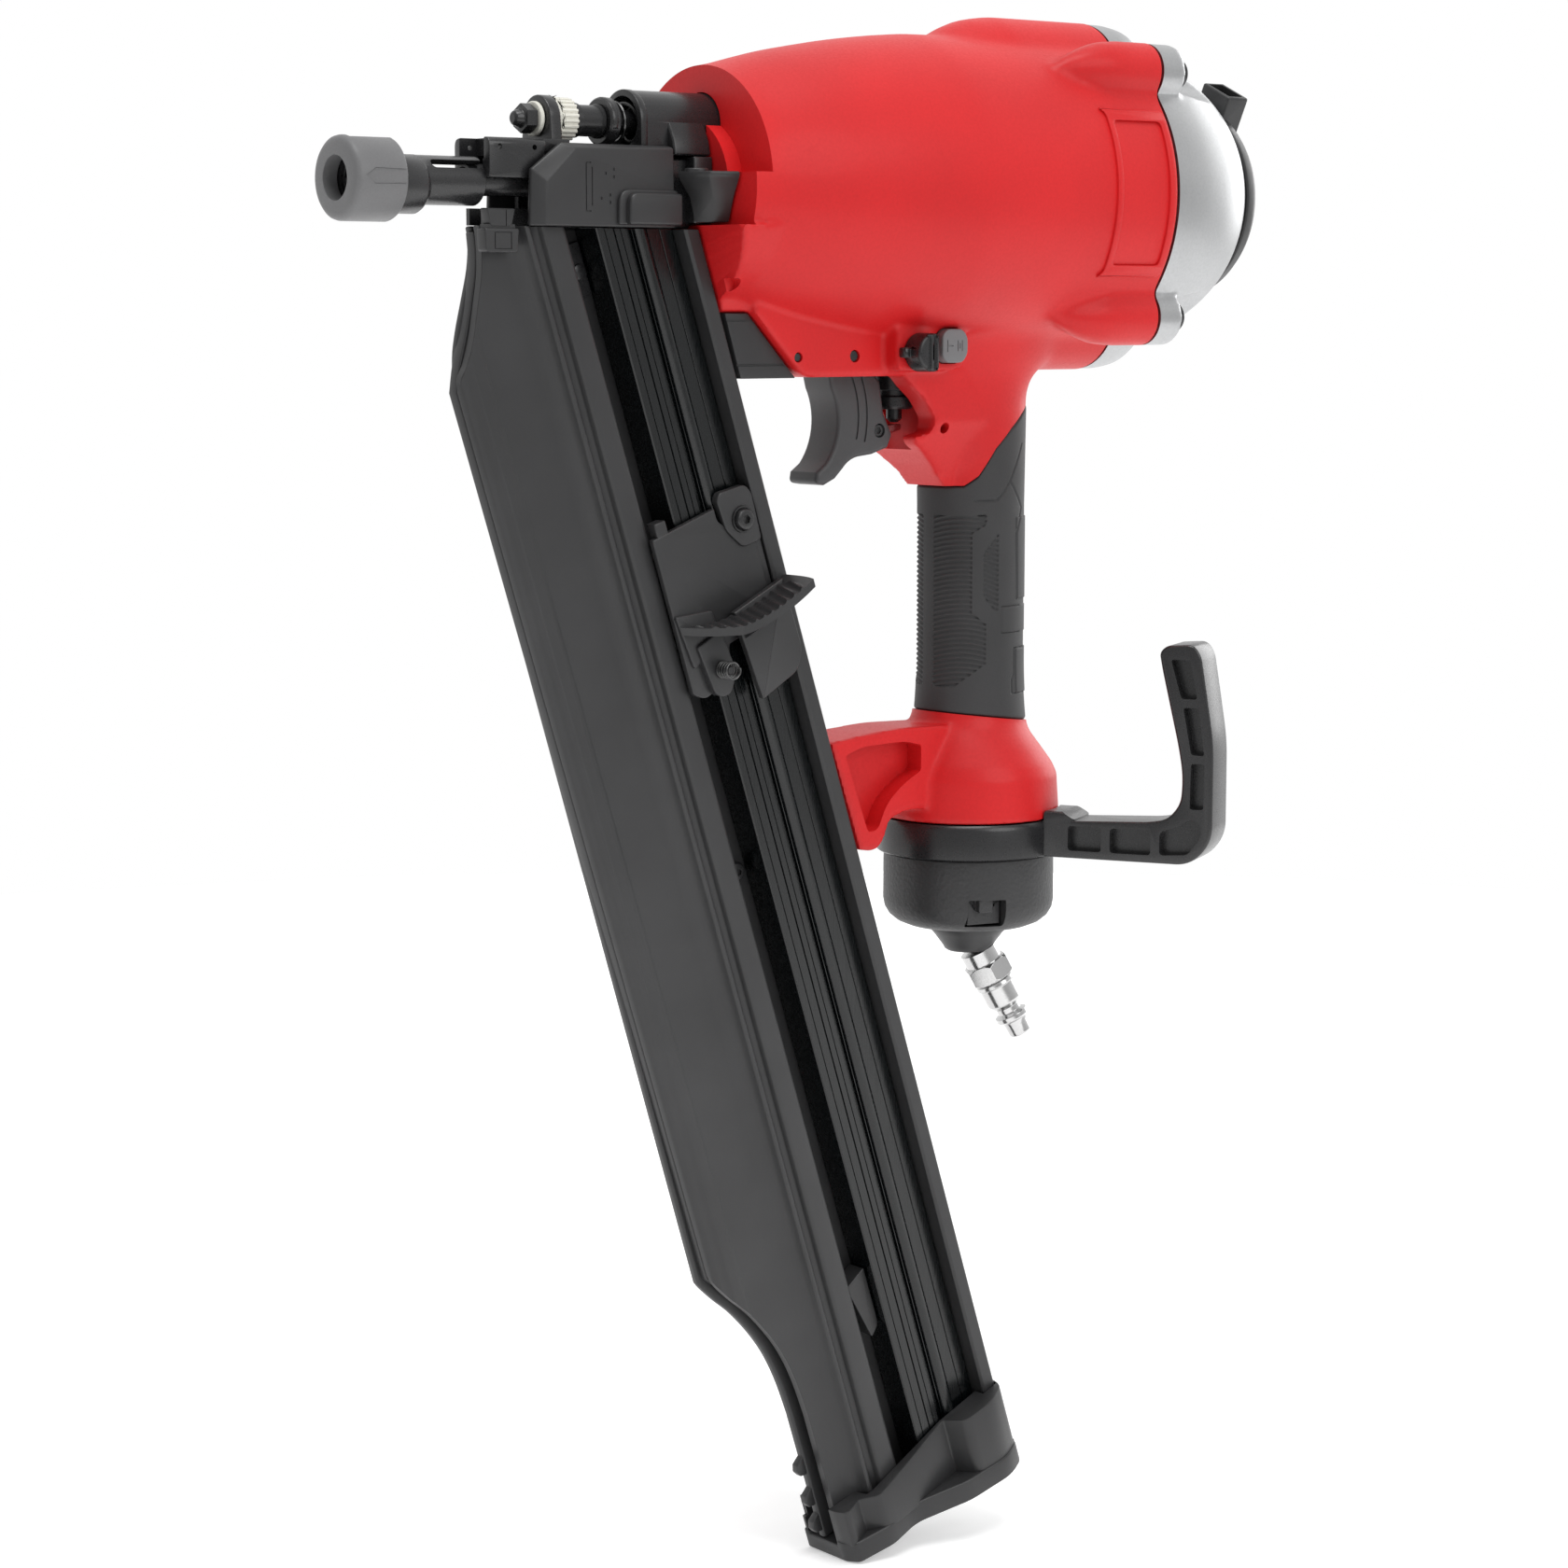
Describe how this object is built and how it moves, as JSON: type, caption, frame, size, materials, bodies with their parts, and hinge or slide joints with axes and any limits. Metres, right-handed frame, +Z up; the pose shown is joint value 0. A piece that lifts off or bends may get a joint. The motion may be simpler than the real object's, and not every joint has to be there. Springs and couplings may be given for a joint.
{
  "type": "pneumatic framing nailer",
  "caption": "Compressed-air framing nailer with a slanted strip magazine, sprung pusher, contact trip, depth wheel, trigger, turning exhaust cap, swinging hook and swivel air inlet.",
  "frame": {"origin": "centre of the bounding box's base: the tool standing with its handle and drive axis square to the world", "axes": "+X from the nose towards the cylinder cap, along the drive axis; +Z up the handle; +Y across the tool, away from the pusher's side"},
  "size_m": [0.353, 0.1316, 0.5095],
  "materials": {
    "red_enamel": "gloss enamel with fine orange peel",
    "black_polymer": "satin moulded nylon",
    "black_anodised": "black anodised extrusion, fine lengthwise lines",
    "black_steel": "black oxide",
    "grip_rubber": "fine textured overmould",
    "pad_rubber": "smooth moulded rubber",
    "cast_aluminium": "satin die casting",
    "steel": "polished steel",
    "spring_steel": "dark drawn wire",
    "white_polymer": "off-white moulded plastic",
    "grey_polymer": "satin moulded grey plastic",
    "seal_rubber": "nitrile rubber"
  },
  "bodies": {
    "frame": {"housing": "red_enamel", "valve_pin": "black_steel", "grip_sleeve": "grip_rubber", "cylinder_cap": "cast_aluminium", "cap_gasket": "seal_rubber", "cap_screw_1": "black_steel", "cap_screw_2": "black_steel", "cap_screw_3": "black_steel", "cap_screw_4": "black_steel", "deflector_screw": "black_steel", "cylinder_sleeve": "cast_aluminium", "sleeve_ring": "seal_rubber", "bumper": "seal_rubber", "head_valve_spring": "spring_steel", "trigger_pin": "black_steel", "trigger_valve_body": "black_polymer", "nose_body": "black_steel", "nose_cover_near": "black_polymer", "nose_cover_far": "black_polymer", "side_bracket": "black_polymer", "lower_guard": "black_polymer", "trip_housing": "black_steel", "trip_spring": "spring_steel", "magazine_near_shell": "black_polymer", "magazine_far_shell": "black_polymer", "magazine_track": "black_anodised", "magazine_rear_rail": "black_polymer", "magazine_liner": "steel", "magazine_screw": "black_steel", "track_stop": "black_polymer", "magazine_end_cap": "black_polymer", "magazine_clip": "black_polymer", "base_cap": "black_polymer"},
    "deflector": {"exhaust_deflector": "black_polymer"},
    "piston": {"piston": "cast_aluminium", "piston_seal": "seal_rubber", "driver_blade": "steel"},
    "head_valve": {"head_valve": "black_polymer"},
    "trigger": {"trigger": "grey_polymer", "trigger_arm": "steel"},
    "valve_stem": {"trigger_valve_stem": "steel"},
    "selector": {"selector_knob": "black_polymer"},
    "mode_button": {"mode_button": "grey_polymer"},
    "contact_trip": {"trip_plunger": "black_steel", "trip_bushing": "black_polymer"},
    "contact_foot": {"depth_screw": "steel", "depth_nut": "black_steel", "depth_washer": "white_polymer", "foot_clamp": "black_steel", "contact_tube": "black_steel", "nose_pad": "pad_rubber"},
    "depth_wheel": {"depth_wheel": "white_polymer"},
    "pusher": {"pusher_body": "black_polymer", "pusher_screw": "black_steel", "pusher_latch_spring": "spring_steel", "pusher_roll_spring": "steel"},
    "pusher_thumb": {"pusher_thumb": "black_polymer"},
    "hook": {"hook": "black_steel"},
    "air_inlet": {"air_swivel": "black_polymer", "air_plug": "steel"}
  },
  "joints": [
    {"name": "deflector_turn", "type": "hinge", "parent": "frame", "child": "deflector", "pos_m": [0.1685, 0.01527, 0.45207], "axis": [1, 0, 0], "continuous": true},
    {"name": "piston_stroke", "type": "slide", "parent": "frame", "child": "piston", "axis": [-1, 0, 0], "range_m": [0, 0.101]},
    {"name": "head_valve_lift", "type": "slide", "parent": "frame", "child": "head_valve", "axis": [1, 0, 0], "range_m": [0, 0.004], "stiffness_N_per_m": 800, "springref_m": -0.004, "deforming": ["head_valve_spring"]},
    {"name": "trigger_pull", "type": "hinge", "parent": "frame", "child": "trigger", "pos_m": [0.0045, 0.01527, 0.39997], "axis": [0, -1, 0], "range_deg": [0, 7], "stiffness_Nm_per_rad": 1.2, "springref_deg": -5.73},
    {"name": "valve_stem_lift", "type": "slide", "parent": "frame", "child": "valve_stem", "axis": [0, 0, 1], "range_m": [0, 0.0039]},
    {"name": "selector_turn", "type": "hinge", "parent": "frame", "child": "selector", "pos_m": [0.0251, -0.00903, 0.40107], "axis": [0, -1, 0], "range_deg": [0, 90]},
    {"name": "mode_button_press", "type": "slide", "parent": "frame", "child": "mode_button", "axis": [0, 1, 0], "range_m": [0, 0.0025], "stiffness_N_per_m": 600, "springref_m": -0.002},
    {"name": "contact_trip_slide", "type": "slide", "parent": "frame", "child": "contact_trip", "axis": [1, 0, 0], "range_m": [0, 0.012], "stiffness_N_per_m": 900, "springref_m": -0.01, "deforming": ["trip_spring"]},
    {"name": "depth_slide", "type": "slide", "parent": "contact_trip", "child": "contact_foot", "axis": [1, 0, 0], "range_m": [-0.005, 0]},
    {"name": "depth_wheel_turn", "type": "hinge", "parent": "contact_trip", "child": "depth_wheel", "pos_m": [-0.0945, 0.01527, 0.47097], "axis": [1, 0, 0], "range_deg": [0, 1441]},
    {"name": "pusher_slide", "type": "slide", "parent": "frame", "child": "pusher", "axis": [0.309, 0, -0.9511], "range_m": [-0.08, 0.22]},
    {"name": "pusher_thumb_tilt", "type": "hinge", "parent": "pusher", "child": "pusher_thumb", "pos_m": [-0.04336, 0.00097, 0.32549], "axis": [-0.9511, 0, -0.309], "range_deg": [0, 6], "stiffness_Nm_per_rad": 0.8, "springref_deg": -2.86},
    {"name": "hook_turn", "type": "hinge", "parent": "frame", "child": "hook", "pos_m": [0.0695, 0.01527, 0.24047], "axis": [0, 0, 1], "range_deg": [-45, 165]},
    {"name": "air_inlet_turn", "type": "hinge", "parent": "frame", "child": "air_inlet", "pos_m": [0.0695, 0.01527, 0.20547], "axis": [0, 0, 1], "continuous": true}
  ],
  "couplings": [
    {"joint": "valve_stem_lift", "follows": "trigger_pull", "m_per_rad": 0.031},
    {"joint": "depth_wheel_turn", "follows": "depth_slide", "rad_per_m": -5026.5}
  ]
}
